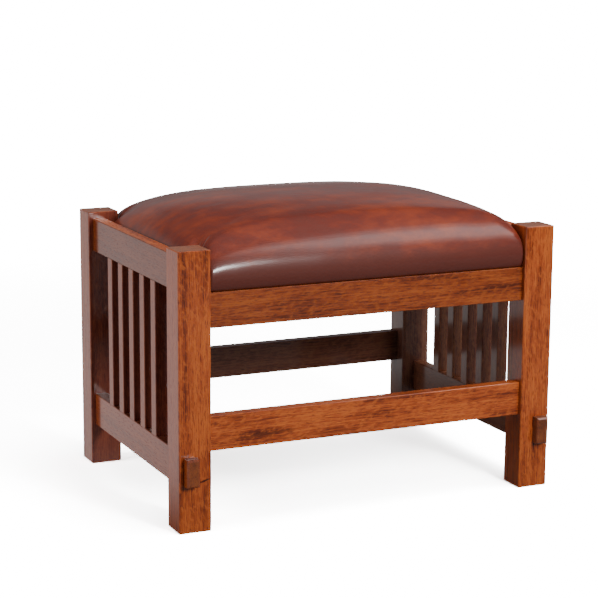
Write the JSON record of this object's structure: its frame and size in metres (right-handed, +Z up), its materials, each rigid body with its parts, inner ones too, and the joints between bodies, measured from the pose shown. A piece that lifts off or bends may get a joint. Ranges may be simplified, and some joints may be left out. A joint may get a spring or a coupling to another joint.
{
  "type": "footstool",
  "caption": "Mission style ottoman: square posts, spindled ends, through-tenoned lower end rails and a domed leather slip seat set down between the end rails.",
  "frame": {"origin": "on the floor, at the centre of the footprint", "axes": "+X along the longer side, to the right as seen from the front; +Y to the back, along the tenoned end rails; +Z up"},
  "size_m": [0.607, 0.4588, 0.4473],
  "materials": {
    "frame_wood": "gloss lacquer over an orange-brown stain",
    "leather": "semi-gloss, mottled dark red-brown",
    "foam": "bare foam, inside the cover",
    "plywood": "unfinished",
    "block_wood": "unfinished",
    "cambric": "matt black",
    "screw_steel": "zinc plated"
  },
  "bodies": {
    "root": {"back_stretcher": "frame_wood", "back_top_rail": "frame_wood", "corner_block_back_left": "block_wood", "corner_block_back_right": "block_wood", "corner_block_front_left": "block_wood", "corner_block_front_right": "block_wood", "dust_cover": "cambric", "foam_pad": "foam", "front_stretcher": "frame_wood", "front_top_rail": "frame_wood", "leather_cover": "leather", "post_back_left": "frame_wood", "post_back_right": "frame_wood", "post_front_left": "frame_wood", "post_front_right": "frame_wood", "seat_board": "plywood", "seat_screws": "screw_steel", "side_lower_rail_left": "frame_wood", "side_lower_rail_right": "frame_wood", "side_top_rail_left": "frame_wood", "side_top_rail_right": "frame_wood", "spindle_left_1": "frame_wood", "spindle_left_2": "frame_wood", "spindle_left_3": "frame_wood", "spindle_left_4": "frame_wood", "spindle_left_5": "frame_wood", "spindle_right_1": "frame_wood", "spindle_right_2": "frame_wood", "spindle_right_3": "frame_wood", "spindle_right_4": "frame_wood", "spindle_right_5": "frame_wood"}
  },
  "joints": []
}
